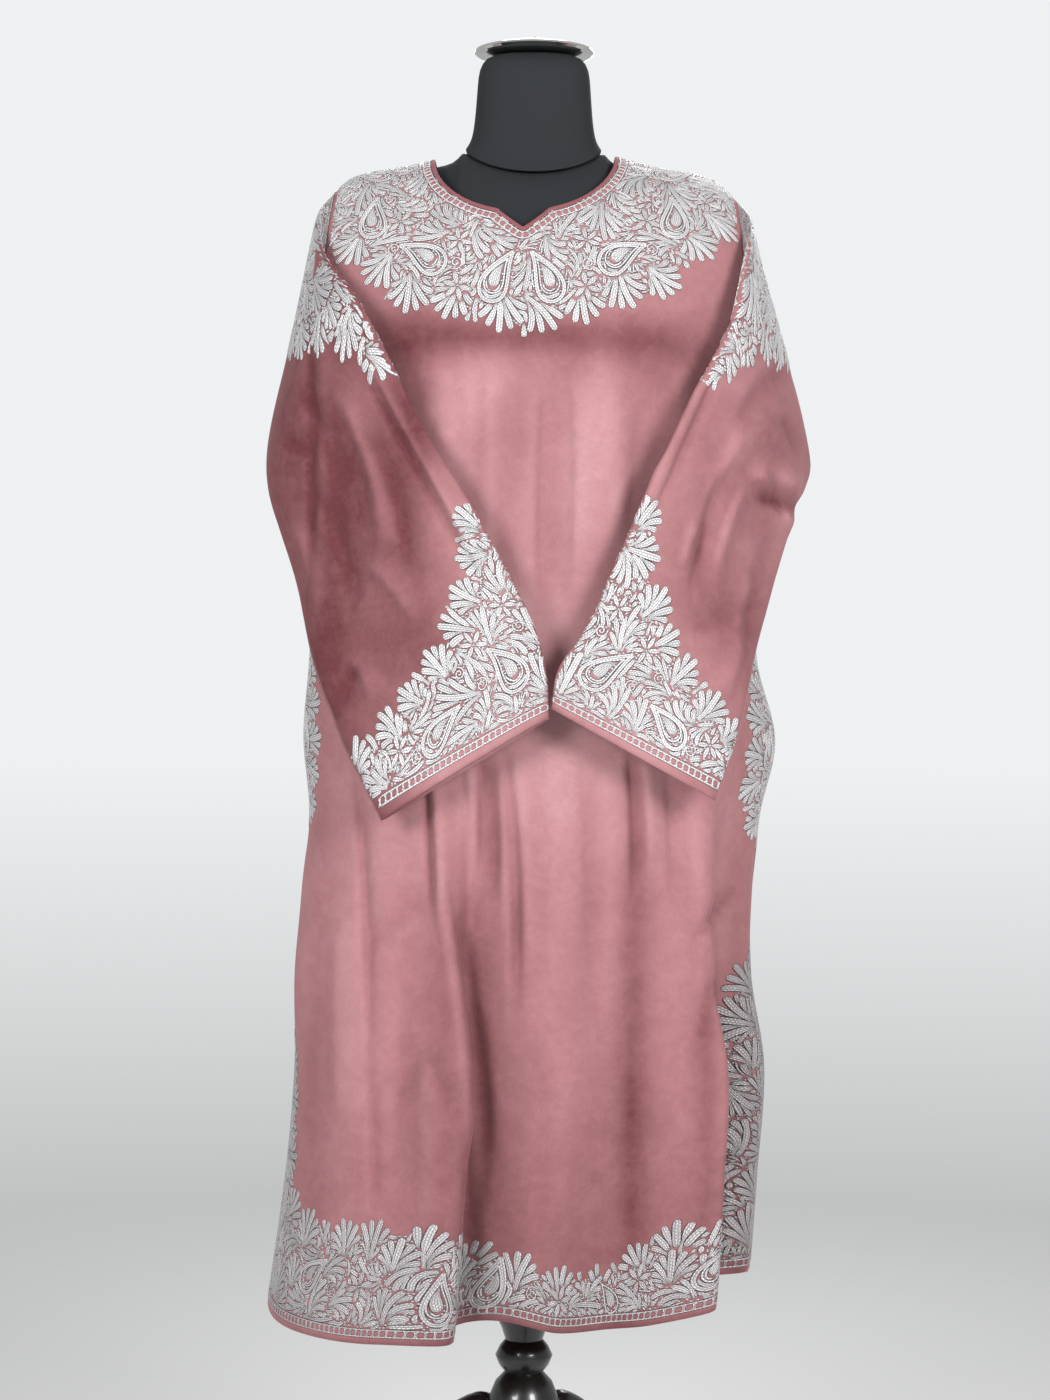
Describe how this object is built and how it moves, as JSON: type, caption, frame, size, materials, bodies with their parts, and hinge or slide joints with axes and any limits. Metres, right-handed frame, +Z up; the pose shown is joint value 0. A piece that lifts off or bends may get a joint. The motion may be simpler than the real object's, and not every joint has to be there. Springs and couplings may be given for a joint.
{
  "type": "pheran on a limbless dress form",
  "caption": "Long velvet pheran with wide sleeves folded forward, shown on a limbless dress form with a turned wooden stand.",
  "frame": {"origin": "on the floor, under the middle of the whole, in width and in depth", "axes": "+Z up the stand, -Y out of the front of the garment, +X to the right as seen from the front"},
  "size_m": [0.5145, 0.4485, 1.531],
  "materials": {
    "velvet": "dusty rose cotton velvet with a short nap, silver thread embroidery at yoke, sleeve tops, cuffs, hem and slits",
    "velvet_edge": "narrow bound edge of the same velvet",
    "silver_thread": "raised couched silver metallic thread",
    "jersey": "charcoal jersey cover, matt",
    "chrome": "polished metal cap",
    "gilt": "small gilt knob",
    "black_wood": "glossy black lacquer on turned wood"
  },
  "bodies": {
    "root": {"front_panel": "velvet", "back_panel": "velvet", "sleeve_left": "velvet", "sleeve_right": "velvet", "neck_binding": "velvet_edge", "neck_cap": "chrome", "cap_knob": "gilt", "form_torso": "jersey", "form_neck": "jersey", "stand_column": "black_wood", "stand_leg_1": "black_wood", "stand_leg_2": "black_wood", "stand_leg_3": "black_wood"}
  },
  "joints": []
}
